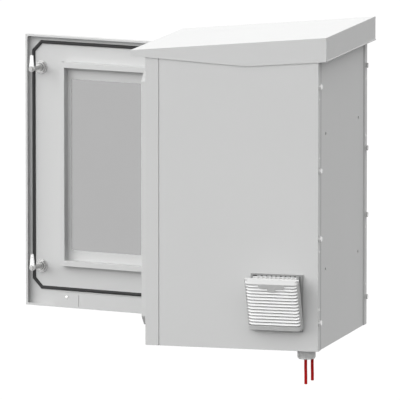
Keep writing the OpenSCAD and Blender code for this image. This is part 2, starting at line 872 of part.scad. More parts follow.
module window_tape() {
  w = window_width / 2 + pane_lap;
  h = window_height / 2 + pane_lap;
  color(black) on_door() slab(door_out - tape_thick, door_out) difference() {
    face(w, window_z - h, window_z + h);
    face(w - tape_overlap, window_z - h + tape_overlap, window_z + h - tape_overlap);
  }
}

// Barrels through the door sheet with a round shield outside
module lock_barrels() {
  color(steel) on_door() for (z = lock_zs) difference() {
    union() {
      bar_y(lock_x, z, shield_radius, door_out - shield_thick, door_out);
      bar_y(lock_x, z, barrel_radius, door_out - 1, barrel_end);
    }
    bar_y(lock_x, z, shaft_radius + fit, door_out - shield_thick - 1, barrel_end + 1);
  }
}

module lock_washers() {
  color(steel) on_door() for (z = lock_zs) difference() {
    bar_y(lock_x, z, washer_radius, door_in, door_in + washer_thick);
    bar_y(lock_x, z, barrel_radius + clear, door_in - 1, door_in + washer_thick + 1);
  }
}

module lock_nuts() {
  y0 = door_in + washer_thick;
  color(steel) on_door() for (z = lock_zs) difference() {
    hex_y(lock_x, z, lock_nut_flats, y0, y0 + lock_nut_height);
    bar_y(lock_x, z, barrel_radius + clear, y0 - 1, y0 + lock_nut_height + 1);
  }
}

// Key-driven shaft with a double-bit socket outside and a square end for the cam
module lock_shaft(z) {
  outer = door_out - shield_thick + 1;
  side = shaft_square / 2;
  color(steel) on_door() difference() {
    union() {
      bar_y(lock_x, z, shaft_radius, outer, cam_y);
      bar_y(lock_x, z, shaft_radius + 2, barrel_end + clear, barrel_end + 3);
      block([lock_x - side, cam_y - 1, z - side], [lock_x + side, cam_y + cam_thick, z + side]);
    }
    difference() {
      bar_y(lock_x, z, 4.4, outer - 1, outer + 6);
      block([lock_x - 5, outer - 2, z - 1.5], [lock_x + 5, outer + 7, z + 1.5]);
    }
  }
}

// Cam: hub with a square hole and a tapered tongue pointing up
module lock_cam(z) {
  side = shaft_square / 2 + 0.1;
  color(steel) on_door() difference() {
    union() {
      bar_y(lock_x, z, cam_hub_radius, cam_y, cam_y + cam_thick);
      slab(cam_y, cam_y + cam_thick) translate([lock_x, z])
        polygon([
          [-tongue_root, 0], [tongue_root, 0], [tongue_tip, tongue_length], [-tongue_tip, tongue_length]
        ]);
    }
    block([lock_x - side, cam_y - 1, z - side], [lock_x + side, cam_y + cam_thick + 1, z + side]);
  }
}

module cam_screw(z) {
  y0 = cam_y + cam_thick;
  color(steel) on_door() {
    bar_y(lock_x, z, cam_hub_radius, y0, y0 + cam_washer);
    hex_y(lock_x, z, cam_screw_flats, y0 + cam_washer, y0 + cam_washer + cam_screw_head);
  }
}

module lower_lock_shaft() {
  lock_shaft(lock_zs[0]);
}

module lower_lock_cam() {
  lock_cam(lock_zs[0]);
}

module lower_cam_screw() {
  cam_screw(lock_zs[0]);
}

module upper_lock_shaft() {
  lock_shaft(lock_zs[1]);
}

module upper_lock_cam() {
  lock_cam(lock_zs[1]);
}

module upper_cam_screw() {
  cam_screw(lock_zs[1]);
}

front_frame();
floor_pan();
top_plate();
rear_panel();
right_panel();
left_panel();
panel_bolts();
panel_rivets();
roof();
roof_rails();
roof_bolts();
mounting_plate();
plate_studs();
plate_nuts();
gland_body();
gland_locknut();
gland_dome();
gland_insert();
gland_plugs();
wire_1();
wire_2();
filter_base();
filter_cover();
filter_basket();
filter_mat();
hinge_frame_halves();
hinge_pins();
hinge_door_halves();
door_panel();
door_gasket();
stiffener_frame();
bottom_rail();
window_pane();
window_tape();
lock_barrels();
lock_washers();
lock_nuts();
upper_lock_shaft();
upper_lock_cam();
upper_cam_screw();
lower_lock_shaft();
lower_lock_cam();
lower_cam_screw();
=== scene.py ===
"""A roadside utility cabinet of light grey sheet steel with its glazed door standing open."""
import json
import math

import bmesh
import bpy
from mathutils import Matrix, Vector

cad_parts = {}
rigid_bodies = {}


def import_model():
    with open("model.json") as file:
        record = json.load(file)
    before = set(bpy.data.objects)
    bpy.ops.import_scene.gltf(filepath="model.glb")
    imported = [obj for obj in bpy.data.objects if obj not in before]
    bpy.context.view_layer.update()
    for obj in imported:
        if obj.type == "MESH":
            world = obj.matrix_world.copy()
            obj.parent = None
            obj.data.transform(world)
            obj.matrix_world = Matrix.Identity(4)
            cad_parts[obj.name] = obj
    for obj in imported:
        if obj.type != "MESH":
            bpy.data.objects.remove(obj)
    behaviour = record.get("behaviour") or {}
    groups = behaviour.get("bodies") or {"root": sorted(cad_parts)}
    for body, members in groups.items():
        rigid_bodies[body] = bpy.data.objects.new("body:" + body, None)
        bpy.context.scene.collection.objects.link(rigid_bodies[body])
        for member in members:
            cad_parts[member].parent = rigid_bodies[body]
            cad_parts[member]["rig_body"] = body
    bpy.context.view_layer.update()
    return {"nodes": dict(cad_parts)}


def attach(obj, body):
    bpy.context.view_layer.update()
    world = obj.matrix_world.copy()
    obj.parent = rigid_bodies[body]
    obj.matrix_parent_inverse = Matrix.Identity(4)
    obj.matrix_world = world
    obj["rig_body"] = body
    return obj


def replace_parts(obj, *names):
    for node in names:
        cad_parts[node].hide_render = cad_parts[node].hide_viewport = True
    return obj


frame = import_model()

# Box: rear panel, two side panels, front frame, floor and top plate, joined at their flanges.
# Each is folded from 2 mm steel sheet, so its edges are slightly round, and powder-coated
# light grey, which leaves a fine orange peel and a barely cloudy tone.


class Link:
    """An output in a node tree. Sums and products of links add Math nodes to that tree."""

    def __init__(self, tree, socket=None):
        self.tree = tree
        self.socket = socket

    def node(self, kind, sockets={}, out=0, **settings):
        made = self.tree.nodes.new(kind)
        for name, value in settings.items():
            setattr(made, name, value)
        for name, value in sockets.items():
            for part in value if isinstance(value, list) else [value]:
                if isinstance(part, Link):
                    self.tree.links.new(part.socket, made.inputs[name])
                else:
                    made.inputs[name].default_value = part
        return Link(self.tree, made.outputs[out]) if made.outputs else None

    def math(self, operation, first, second=0.0):
        return self.node("ShaderNodeMath", {0: first, 1: second}, operation=operation)

    def __add__(self, other):
        return self.math("ADD", self, other)

    def __sub__(self, other):
        return self.math("SUBTRACT", self, other)

    def __rsub__(self, other):
        return self.math("SUBTRACT", other, self)

    def __mul__(self, other):
        return self.math("MULTIPLY", self, other)

    __radd__ = __add__
    __rmul__ = __mul__

    def tone(self, low, high):
        colours = {0: self, 6: (*low, 1.0), 7: (*high, 1.0)}
        return self.node("ShaderNodeMix", colours, out=2, data_type="RGBA")

    def noise(self, scale, detail=2.0, distortion=0.0):
        return self.node("ShaderNodeTexNoise", {
            "Vector": self, "Scale": scale, "Detail": detail, "Distortion": distortion})

    def bump(self, strength, distance):
        return self.node("ShaderNodeBump", {
            "Height": self, "Strength": strength, "Distance": distance})


def start_finish(name):
    material = bpy.data.materials.new(name)
    material.use_nodes = True
    material.node_tree.nodes.clear()
    return material, Link(material.node_tree).node("ShaderNodeTexCoord", out="Object")


def close_finish(at, sockets):
    shader = at.node("ShaderNodeBsdfPrincipled", sockets)
    at.node("ShaderNodeOutputMaterial", {"Surface": shader})


def coat(name, low, high, rough, peel):
    """Paint or moulded plastic with a faint cloud in its tone and an orange peel."""
    material, at = start_finish(name)
    close_finish(at, {
        "Base Color": at.noise(5.0, 3.0).tone(low, high),
        "Roughness": rough + 0.08 * at.noise(60.0),
        "Specular IOR Level": 0.25,
        "Normal": at.noise(1100.0, 1.0).bump(peel, 0.0002)})
    return material


def add_object(name, data):
    thing = bpy.data.objects.new(name, data)
    bpy.context.scene.collection.objects.link(thing)
    return thing


def add_piece(name, mesh, finish, body):
    if finish:
        mesh.materials.clear()
        mesh.materials.append(finish)
    piece = add_object(name, mesh)
    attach(piece, body)
    return piece


def plain_mesh(work, name):
    mesh = bpy.data.meshes.new(name)
    work.to_mesh(mesh)
    work.free()
    return mesh


def applied(thing, modifier):
    """The plain mesh that an object makes with its modifier."""
    graph = bpy.context.evaluated_depsgraph_get()
    mesh = bpy.data.meshes.new_from_object(thing.evaluated_get(graph))
    thing.modifiers.remove(modifier)
    bpy.data.objects.remove(thing)
    return mesh


def smooth(mesh, angle):
    mesh.shade_smooth()
    mesh.set_sharp_from_angle(angle=math.radians(angle))
    return mesh


def shaded(mesh, angle):
    """The same mesh with smooth folds and flat faces that keep their own direction."""
    thing = add_object(mesh.name, smooth(mesh, angle))
    even = thing.modifiers.new("even_faces", "WEIGHTED_NORMAL")
    even.keep_sharp = True
    even.weight = 100
    return applied(thing, even)


def sharp_edges(work):
    return [edge for edge in work.edges
            if len(edge.link_faces) == 2 and edge.calc_face_angle(0.0) > 0.6]


def bevel(work, edges, radius, segments):
    bmesh.ops.bevel(work, geom=edges, offset=radius, offset_type="OFFSET", segments=segments,
                    profile=0.5, affect="EDGES", clamp_overlap=True)


def round_edges(node, radius, finish, cut_corner=0.0):
    """A copy of a CAD node with its folds and cut edges rounded, shown in its place.

    A cut corner also rounds the inner corners of a large opening in the sheet.
    """
    source = frame["nodes"][node]
    work = bmesh.new()
    work.from_mesh(source.data)
    bmesh.ops.remove_doubles(work, verts=work.verts, dist=1e-6)
    bmesh.ops.dissolve_limit(work, angle_limit=0.01, verts=work.verts, edges=work.edges)
    if cut_corner:
        bevel(work, [edge for edge in sharp_edges(work)
                     if not edge.is_convex and edge.calc_length() < 0.003
                     and min(face.calc_area() for face in edge.link_faces) > 0.0003],
              cut_corner, 5)
    bevel(work, sharp_edges(work), radius, 2)
    bmesh.ops.triangulate(work, faces=[face for face in work.faces if len(face.verts) > 4])
    mesh = shaded(plain_mesh(work, node + "_rounded"), 38)
    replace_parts(add_piece(node + "_rounded", mesh, finish, source["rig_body"]), node)


painted = coat("light_grey_powder_coat", (0.565, 0.568, 0.566), (0.585, 0.587, 0.585), 0.42, 0.08)
for sheet_name in ("rear_panel", "right_panel", "left_panel", "front_frame", "floor_pan",
                   "top_plate"):
    round_edges(sheet_name, 0.0006, painted)

# Sealed joints: a flat bead of grey compound over each side panel's flange where it ends on the
# rear panel. It is painted on after assembly and keeps water out of the joint. Its grey, darker
# than the paint, is also painted shade: the shadow that falls in the gap beside each flange.
sealant_painted_shade = coat("joint_sealant_painted_shade", (0.45, 0.45, 0.45), (0.49, 0.49, 0.49), 0.6, 0.2)
joint_profile = ((0.2360, 0.0019), (0.2350, 0.0027), (0.2300, 0.0027), (0.2270, 0.0002),
                 (0.2270, -0.0005), (0.2360, -0.0005))
joint_reach = 0.385
joint = bmesh.new()
for side in (-1, 1):
    foot, top = [[joint.verts.new((side * x, y, z)) for x, y in joint_profile]
                 for z in (-joint_reach, joint_reach)]
    for k in range(len(joint_profile)):
        joint.faces.new((foot[k], foot[k - 1], top[k - 1], top[k]))
    joint.faces.new(foot)
    joint.faces.new(top)
bmesh.ops.recalc_face_normals(joint, faces=joint.faces)
add_piece("flange_joints", plain_mesh(joint, "flange_joints"), sealant_painted_shade, "cabinet")

# Panel bolts and rivets: eight M8 hexagon bolts with washers and nuts, and eight blind rivets.
# They hold the side panels' flanges to the rear panel. All are zinc-plated: the bolts have the
# chamfered crown that cold heading leaves, and the rivets are domed.


def metal(name, low, high, rough, scale, metallic=1.0):
    material, at = start_finish(name)
    close_finish(at, {
        "Base Color": at.noise(scale, 4.0).tone(low, high),
        "Metallic": metallic,
        "Roughness": rough + 0.16 * at.noise(scale * 3.0),
        "Normal": at.noise(2400.0, 1.0).bump(0.05, 0.0001)})
    return material


def start_tree(name, sizes):
    """A Geometry Nodes tree that takes places and sizes, as links by their names."""
    tree = bpy.data.node_groups.new(name, "GeometryNodeTree")
    tree.interface.new_socket("Places", in_out="INPUT", socket_type="NodeSocketGeometry")
    for size in sizes:
        tree.interface.new_socket(size, in_out="INPUT", socket_type="NodeSocketFloat")
    tree.interface.new_socket("Pieces", in_out="OUTPUT", socket_type="NodeSocketGeometry")
    entry = tree.nodes.new("NodeGroupInput")
    return {socket.name: Link(tree, socket) for socket in entry.outputs}


def close_tree(start, spread, finish, others=()):
    """Ends a tree in real pieces of one finish, with others where a selection says so."""
    done = start.node("GeometryNodeRealizeInstances", {0: spread})
    done = start.node("GeometryNodeSetMaterial", {"Geometry": done, "Material": finish})
    for chosen, other in others:
        done = start.node("GeometryNodeSetMaterial", {
            "Geometry": done, "Selection": chosen, "Material": other})
    start.node("NodeGroupOutput", {0: done})


def place_solids(start, solids, finish, turn):
    whole = start.node("GeometryNodeJoinGeometry", {0: solids})
    close_tree(start, start.node("GeometryNodeInstanceOnPoints", {
        "Points": start, "Instance": whole, "Rotation": turn}), finish)


def rod(start, sides, radius, depth, lift, upper=None):
    """A cylinder, or a cone with another upper radius, that stands on a height along Z."""
    if upper is None:
        solid = start.node("GeometryNodeMeshCylinder", {
            "Vertices": sides, "Radius": radius, "Depth": depth})
        lift = lift + 0.5 * depth
    else:
        solid = start.node("GeometryNodeMeshCone", {
            "Vertices": sides, "Radius Top": upper, "Radius Bottom": radius, "Depth": depth})
    place = start.node("ShaderNodeCombineXYZ", {"Z": lift})
    return start.node("GeometryNodeTransform", {"Geometry": solid, "Translation": place})


def grow(name, places, start, sizes, body):
    """Runs a tree on its places, a list or a mesh, and keeps the result as a plain mesh."""
    mesh = places
    if isinstance(places, list):
        mesh = bpy.data.meshes.new(name)
        mesh.from_pydata(places, [], [])
    seed = add_object(name + "_places", mesh)
    growth = seed.modifiers.new("growth", "NODES")
    growth.node_group = start.tree
    for socket in start.tree.interface.items_tree:
        if socket.name in sizes:
            growth[socket.identifier] = sizes[socket.name]
    return add_piece(name, smooth(applied(seed, growth), 30), None, body)


zinc = metal("zinc_plated_steel", (0.58, 0.58, 0.58), (0.74, 0.74, 0.73), 0.2, 220.0)
half_height = 0.3875
flange_middle = 0.247
flange_face = 0.002
facing_rear = (-math.pi / 2, 0.0, 0.0)


def flange_places(shares):
    """Places on both flanges, by their share of half the box's height."""
    return [(x, flange_face, share * half_height)
            for x in (-flange_middle, flange_middle) for share in shares]


bolt_sizes = {"Head flats": 0.013, "Head height": 0.0053, "Washer radius": 0.008,
              "Washer thickness": 0.0016, "Shank radius": 0.004, "Grip": 0.004,
              "Nut height": 0.0065, "Tail": 0.010}
bolt = start_tree("hexagon_bolt", bolt_sizes)
begin = bolt["Places"]
hex_radius = bolt["Head flats"] * (1 / math.sqrt(3))
crown = bolt["Head flats"] * 0.47
head_height, head_seat = bolt["Head height"], bolt["Washer thickness"]
head = begin.node("GeometryNodeMeshBoolean", {1: [
    rod(begin, 6, hex_radius, head_height, head_seat),
    rod(begin, 48, crown + 1.73 * head_height, head_height, head_seat, crown)]},
    operation="INTERSECT")
shank = bolt["Tail"] + bolt["Grip"]
place_solids(begin, [
    head,
    rod(begin, 40, bolt["Washer radius"], bolt["Washer thickness"], 0.0),
    rod(begin, 6, hex_radius, bolt["Nut height"], -1.0 * (bolt["Grip"] + bolt["Nut height"])),
    rod(begin, 24, bolt["Shank radius"], shank, -1.0 * shank)], zinc, facing_rear)
bolts = grow("hexagon_bolts", flange_places((-0.805, -0.232, 0.232, 0.805)), begin, bolt_sizes,
             "cabinet")
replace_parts(bolts, "panel_bolts")

rivet_sizes = {"Head radius": 0.0036, "Head height": 0.001, "Tail radius": 0.0028,
               "Tail depth": 0.003, "Grip": 0.004, "Stem radius": 0.0011}


def rivet_tree(turn):
    rivet = start_tree("blind_rivet", rivet_sizes)
    start = rivet["Places"]
    ball = start.node("GeometryNodeMeshUVSphere", {
        "Segments": 24, "Rings": 12, "Radius": rivet["Head radius"]})
    share = start.math("DIVIDE", rivet["Head height"], rivet["Head radius"])
    flatten = start.node("ShaderNodeCombineXYZ", {"X": 1.0, "Y": 1.0, "Z": share})
    dome = start.node("GeometryNodeTransform", {"Geometry": ball, "Scale": flatten})
    tail_seat = -1.0 * (rivet["Grip"] + rivet["Tail depth"])
    place_solids(start, [
        dome,
        rod(start, 20, rivet["Stem radius"], rivet["Head height"], rivet["Head height"] * 0.25),
        rod(start, 20, rivet["Tail radius"], rivet["Tail depth"], tail_seat),
        rod(start, 16, rivet["Tail radius"] * 0.7, rivet["Grip"], -1.0 * rivet["Grip"])],
        zinc, turn)
    return start


rivets = grow("blind_rivets", flange_places((-0.716, -0.32, 0.32, 0.716)),
              rivet_tree(facing_rear), rivet_sizes, "cabinet")
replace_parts(rivets, "panel_rivets")

# Equipment plate on four shouldered studs with nuts, inside the cabinet.
# The plate is hot-dip galvanised sheet with its spangle of zinc crystals, and its corners are
# pressed back so that the nuts stay below its face.
spangled, at = start_finish("galvanised_sheet")
crystals = at.node("ShaderNodeTexVoronoi", {"Vector": at, "Scale": 95.0, "Randomness": 1.0},
                   out="Color")
shade = at.node("ShaderNodeSeparateColor", {"Color": crystals}, out="Red")
spangle = 0.7 * shade + 0.3 * at.noise(300.0, 4.0)
close_finish(at, {
    "Base Color": spangle.tone((0.50, 0.51, 0.52), (0.66, 0.67, 0.67)),
    "Metallic": 0.9,
    "Roughness": 0.36 + 0.14 * shade,
    "Normal": shade.bump(0.03, 0.0002)})
round_edges("mounting_plate", 0.0005, spangled)

thread_pitch = 0.00125
thread_end = -0.0165
threaded, at = start_finish("zinc_plated_thread")
along = at.node("ShaderNodeSeparateXYZ", {"Vector": at}, out="Y")
ridge = at.math("SINE", along * (2 * math.pi / thread_pitch))
close_finish(at, {
    "Base Color": at.noise(220.0, 4.0).tone((0.50, 0.50, 0.50), (0.66, 0.66, 0.65)),
    "Metallic": 1.0,
    "Roughness": 0.3 + 0.1 * at.noise(500.0),
    "Normal": (ridge * at.math("LESS_THAN", along, thread_end)).bump(0.6, 0.0005)})
round_edges("plate_studs", 0.0003, threaded)
round_edges("plate_nuts", 0.0005, zinc)

# Roof: one folded sheet with a front lip, a rear fascia with a drip edge and pointed side skirts.
# The fascia's lower edge is hemmed, a round fold that catches the light. The roof is coated like
# the box, and two galvanised wedge rails with M6 bolts carry it.
round_edges("roof", 0.0006, painted)
fascia_y = 0.0245
hem_y = 0.0244
hem_radius = 0.0014
fascia = [corner.co for corner in frame["nodes"]["roof"].data.vertices if corner.co.y > fascia_y]
hem_length = max(place.x for place in fascia) - min(place.x for place in fascia)
hem_place = Vector((0.0, hem_y, min(place.z for place in fascia) + hem_radius))
hem = bmesh.new()
bmesh.ops.create_cone(hem, cap_ends=True, segments=20, radius1=hem_radius, radius2=hem_radius,
                      depth=hem_length, matrix=Matrix.Translation(hem_place)
                      @ Matrix.Rotation(math.pi / 2, 4, "Y"))
add_piece("fascia_hem", shaded(plain_mesh(hem, "fascia_hem"), 38), painted, "cabinet")
round_edges("roof_rails", 0.0005, spangled)
round_edges("roof_bolts", 0.0004, zinc)

# Cable gland, screwed into the floor with a locknut: hexagon body and ribbed dome nut of grey
# polyamide, a rubber insert that holds the wires, and blanking plugs in its other holes.


def dress(finish, *names):
    for name in names:
        mesh = frame["nodes"][name].data
        mesh.materials.clear()
        mesh.materials.append(finish)


gland_grey = coat("grey_polyamide", (0.88, 0.885, 0.88), (0.92, 0.925, 0.92), 0.45, 0.05)
rubber, at = start_finish("black_rubber")
close_finish(at, {
    "Base Color": at.noise(90.0, 3.0).tone((0.014, 0.014, 0.015), (0.022, 0.022, 0.022)),
    "Roughness": 0.62 + 0.15 * at.noise(400.0),
    "Normal": at.noise(1500.0, 3.0).bump(0.2, 0.0002)})
for gland_name in ("gland_body", "gland_locknut"):
    round_edges(gland_name, 0.0008, gland_grey)
dress(rubber, "gland_insert", "gland_plugs")

at_gland = Matrix.Translation((0.170, -0.052, -half_height))
nut_outline = [(20.3, -8.6), (22.4, -8.6), (23.0, -9.4), (23.0, -29.0), (22.6, -30.8),
               (21.9, -32.0), (20.9, -32.5), (20.3, -32.5), (20.3, -8.6)]
wall = bmesh.new()
ring = [wall.verts.new((r / 1000, 0.0, z / 1000)) for r, z in nut_outline]
edges = [wall.edges.new(pair) for pair in zip(ring, ring[1:])]
bmesh.ops.spin(wall, geom=ring + edges, axis=(0, 0, 1), cent=(0, 0, 0), angle=2 * math.pi,
               steps=64)
bmesh.ops.remove_doubles(wall, verts=wall.verts, dist=1e-6)
bmesh.ops.recalc_face_normals(wall, faces=wall.faces)
wall_mesh = plain_mesh(wall, "gland_nut_wall")
wall_mesh.transform(at_gland)
nut_wall = add_piece("gland_nut_wall", shaded(wall_mesh, 38), gland_grey, "cabinet")
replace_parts(nut_wall, "gland_dome")

rib_count = 32
rib_middle = -0.0195
rib_sizes = {"Wall radius": 0.0230, "Rib height": 0.0175, "Slant": 0.5}
rib = start_tree("slanted_ribs", rib_sizes)
begin = rib["Places"]
feet = begin.node("GeometryNodeMeshCircle", {"Vertices": rib_count, "Radius": rib["Wall radius"]})
bar_size = begin.node("ShaderNodeCombineXYZ", {"X": 0.0018, "Y": 0.0016, "Z": rib["Rib height"]})
around = begin.node("GeometryNodeInputIndex") * (2 * math.pi / rib_count)
close_tree(begin, begin.node("GeometryNodeInstanceOnPoints", {
    "Points": feet,
    "Instance": begin.node("GeometryNodeMeshCube", {"Size": bar_size}),
    "Rotation": begin.node("ShaderNodeCombineXYZ", {"X": rib["Slant"], "Z": around})}), gland_grey)
ribs = grow("gland_nut_ribs", [(0.0, 0.0, 0.0)], begin, rib_sizes, "cabinet")
ribs.data.transform(at_gland @ Matrix.Translation((0.0, 0.0, rib_middle)))

# Two single wires hang straight out of the gland's insert and are cut off square.
# Each is 8 mm over its dark red PVC sheath, and the cut shows a bundle of copper strands.
sheath, at = start_finish("dark_red_sheath")
close_finish(at, {
    "Base Color": at.noise(120.0, 3.0).tone((0.45, 0.005, 0.005), (0.50, 0.007, 0.006)),
    "Roughness": 0.55 + 0.1 * at.noise(500.0),
    "Specular IOR Level": 0.1,
    "Normal": at.noise(300.0, 1.0).bump(0.01, 0.0001)})
copper = metal("copper_strand", (0.70, 0.32, 0.18), (0.85, 0.42, 0.25), 0.28, 900.0)
wire_radius = 0.004
wire_routes = {
    "wire_1": [(0.1845, -0.0505, -0.420), (0.1845, -0.0505, -0.442),
               (0.1845, -0.0500, -0.464), (0.1845, -0.0500, -0.486)],
    "wire_2": [(0.1660, -0.0375, -0.420), (0.1660, -0.0375, -0.440),
               (0.1660, -0.0370, -0.460), (0.1660, -0.0370, -0.478)],
}
strand_sizes = {"Strand radius": 0.00048, "Strand length": 0.0016}
strand = start_tree("copper_strands", strand_sizes)
begin = strand["Places"]
place_solids(begin, [rod(begin, 10, strand["Strand radius"], strand["Strand length"],
                         -0.5 * strand["Strand length"])], copper, (0.0, 0.0, 0.0))
bundle = [Vector((0.0, 0.0, 0.0))] + [
    Vector((r * math.cos(2 * math.pi * k / count), r * math.sin(2 * math.pi * k / count), 0.0))
    for r, count in ((0.00098, 6), (0.00196, 12)) for k in range(count)]
for wire_name, corners in wire_routes.items():
    route = []
    for low, high in zip(corners, corners[1:]):
        route += [Vector(low).lerp(Vector(high), k / 6) for k in range(6)]
    route.append(Vector(corners[-1]))
    line = bpy.data.curves.new(wire_name + "_sheath", "CURVE")
    line.dimensions = "3D"
    line.bevel_depth = wire_radius
    line.bevel_resolution = 8
    line.use_fill_caps = True
    spline = line.splines.new("POLY")
    spline.points.add(len(route) - 1)
    for point, place in zip(spline.points, route):
        point.co = (*place, 1.0)
    line.materials.append(sheath)
    wire = add_object(wire_name + "_sheath", line)
    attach(wire, "cabinet")
    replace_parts(wire, wire_name)
    strands = grow(wire_name + "_strands", [route[-1] + place for place in bundle], begin,
                   strand_sizes, "cabinet")

# Air filter: base in the side panel's cut-out, tray that swings with the cover, and fleece mat.
# Base and tray are moulded grey plastic with an eroded texture, the base darker, and the mat is
# white fibre laid into the tray.
# The base's dark grey is partly its own tone and partly painted shade, the shadow behind the open
# cover.
base_tone_painted_shade = coat("dark_moulding_painted_shade", (0.27, 0.272, 0.27), (0.31, 0.312, 0.31), 0.5, 0.1)
tray_grey = coat("grey_moulding", (0.50, 0.502, 0.50), (0.54, 0.542, 0.54), 0.5, 0.1)
fleece, at = start_finish("filter_fleece")
fibres = at.noise(260.0, 6.0, 2.5)
close_finish(at, {
    "Base Color": fibres.tone((0.55, 0.55, 0.53), (0.82, 0.82, 0.80)),
    "Roughness": 0.9,
    "Sheen Weight": 0.3,
    "Normal": fibres.bump(0.9, 0.002)})
round_edges("filter_base", 0.0005, base_tone_painted_shade)
round_edges("filter_basket", 0.0004, tray_grey)
dress(fleece, "filter_mat")

# Filter cover: one moulding with a bevelled frame, rounded lower corners, thirteen bent slats that
# run round its sides, and a stepped tab that a finger or a blade lifts. Its bores sit on the
# base's stub pins. It is drawn upright in millimetres and then tilted open about those pins.
moulded = coat("light_grey_moulding", (0.56, 0.563, 0.56), (0.59, 0.592, 0.59), 0.35, 0.06)
# A near-white copy of the cover's moulding: painted light for the slats' upward faces, where the
# light falls.
painted_highlight = coat("painted_highlight_moulding", (0.90, 0.902, 0.90), (0.93, 0.932, 0.93), 0.3, 0.06)
flap = frame["nodes"]["filter_cover"]["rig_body"]
cover_foot = Vector((0.267, -0.1085, -0.334))
cover_pins = Vector((0.004, 0.0, 0.007))
on_cover = (Matrix.Translation(cover_foot + cover_pins)
            @ Matrix.Rotation(math.radians(19), 4, "Y") @ Matrix.Translation(-cover_pins))
flat_half = 57
side_curve = 14


def recess(y):
    """How far the cover's face falls back towards its sides."""
    reach = min(max(abs(y) - flat_half, 0) / side_curve, 1)
    return 5 * (1 - math.sqrt(1 - reach * reach))


def cover_mesh(name, places, faces):
    mesh = bpy.data.meshes.new(name)
    mesh.from_pydata([Vector(place) / 1000 for place in places], [], faces)
    work = bmesh.new()
    work.from_mesh(mesh)
    bmesh.ops.recalc_face_normals(work, faces=work.faces)
    work.to_mesh(mesh)
    work.free()
    return mesh


def bands(rows, count, joined):
    """Faces between neighbouring rows of places, which close into a ring if joined."""
    pairs = [(a * count, (a + 1) % rows * count) for a in range(rows if joined else rows - 1)]
    return [(a + k, a + (k + 1) % count, b + (k + 1) % count, b + k)
            for a, b in pairs for k in range(count)]


def cover_ring(depth, half, low, high, low_round, bulged):
    """Outline of the cover at one depth, with round lower corners and nearly sharp upper ones."""
    outline = [((half - low_round) * (k / 12 - 1), low) for k in range(25)]
    for across, upright, start, size in ((1, low, -90, low_round), (1, high, 0, 1),
                                         (-1, high, 90, 1), (-1, low, 180, low_round)):
        middle = (across * (half - size), upright + size if upright == low else upright - size)
        outline += [(middle[0] + size * math.cos(a), middle[1] + size * math.sin(a))
                    for a in [math.radians(start + 15 * k) for k in range(7)]]
        if start == 0:
            outline += [((half - 1) * (1 - k / 12), high) for k in range(25)]
    return [(depth - (recess(y) if bulged else 0), y, z) for y, z in outline]


rings = [cover_ring(0, 73.5, 0, 150, 10, False), cover_ring(7, 73.5, 0, 150, 10, False),
         cover_ring(11.5, 72.3, 3, 145.5, 9, True), cover_ring(16, 70.5, 6, 141, 8, True),
         cover_ring(16, 69.5, 17.5, 138.5, 1.2, True), cover_ring(8, 69.5, 17.5, 138.5, 1.2, False),
         cover_ring(8, 71, 2.5, 147.5, 8, False), cover_ring(0, 71, 2.5, 147.5, 8, False)]
shell_mesh = cover_mesh("cover_frame", [place for ring in rings for place in ring],
                        bands(len(rings), len(rings[0]), True))
shell_mesh.transform(on_cover)
shell = add_piece("cover_frame", shaded(shell_mesh, 24), moulded, flap)
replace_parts(shell, "filter_cover")

tab_edge = [(-37, 138.6), (-32, 128.3), (-11, 128.3), (-9.5, 119.1), (9.5, 119.1), (11, 128.3),
            (32, 128.3), (37, 138.6)]
tab_mesh = cover_mesh("cover_tab", [(x, y, z) for x in (12, 16.2) for y, z in tab_edge],
                      [tuple(range(8)), tuple(range(8, 16))] + bands(2, 8, False))
tab_mesh.transform(on_cover)
add_piece("cover_tab", tab_mesh, moulded, flap)

slat_bend = [(9.5, 1.1), (16, -5.4), (14, -8.8), (12.6, -7.9), (13.4, -5.6), (8, -0.2)]
slat_stations = sorted({side * y for side in (-1, 1) for y in [0] + [
    flat_half + side_curve * math.sin(k * math.pi / 20) for k in range(11)]})
slat_last = 6 * (len(slat_stations) - 1)
slat_mesh = cover_mesh(
    "cover_slat",
    [(x - recess(y), y, z + recess(y)) for y in slat_stations for x, z in slat_bend],
    [tuple(range(6)), tuple(range(slat_last, slat_last + 6))]
    + bands(len(slat_stations), 6, False))
slat_sizes = {"Pitch": 0.0092}
row = start_tree("slat_rows", slat_sizes)
begin = row["Places"]
step = begin.node("ShaderNodeCombineXYZ", {"Z": -1.0 * row["Pitch"]})
levels = begin.node("GeometryNodeMeshLine", {
    "Count": 13, "Start Location": (0.0, 0.0, 0.1375), "Offset": step})
spread = begin.node("GeometryNodeInstanceOnPoints", {"Points": levels, "Instance": begin})
# The slats' faces that turn upwards get the near-white copy, a painted highlight; the rest keep the
# cover's grey.
upward = begin.node("ShaderNodeSeparateXYZ", {
    "Vector": begin.node("GeometryNodeInputNormal")}, out="Z")
close_tree(begin, spread, moulded, [(begin.math("GREATER_THAN", upward, 0.3), painted_highlight)])
slats = grow("cover_slats", slat_mesh, begin, slat_sizes, flap)
slats.data.transform(on_cover)

# Hinges: two concealed hinges of zinc-plated steel between the frame and the door.
# One half is a leaf that lies on the frame's front, the other a strip along the door's sheet,
# and their knuckles turn on a headed pin.
for hinge_name in ("hinge_frame_halves", "hinge_door_halves", "hinge_pins"):
    round_edges(hinge_name, 0.0004, zinc)

# Door: tray of folded sheet with a lip, channels welded around the window and a plate along
# its foot, all coated like the box. The window's opening has rounded corners.
round_edges("door_panel", 0.0005, painted, 0.006)
for door_name in ("stiffener_frame", "bottom_rail"):
    round_edges(door_name, 0.0005, painted)

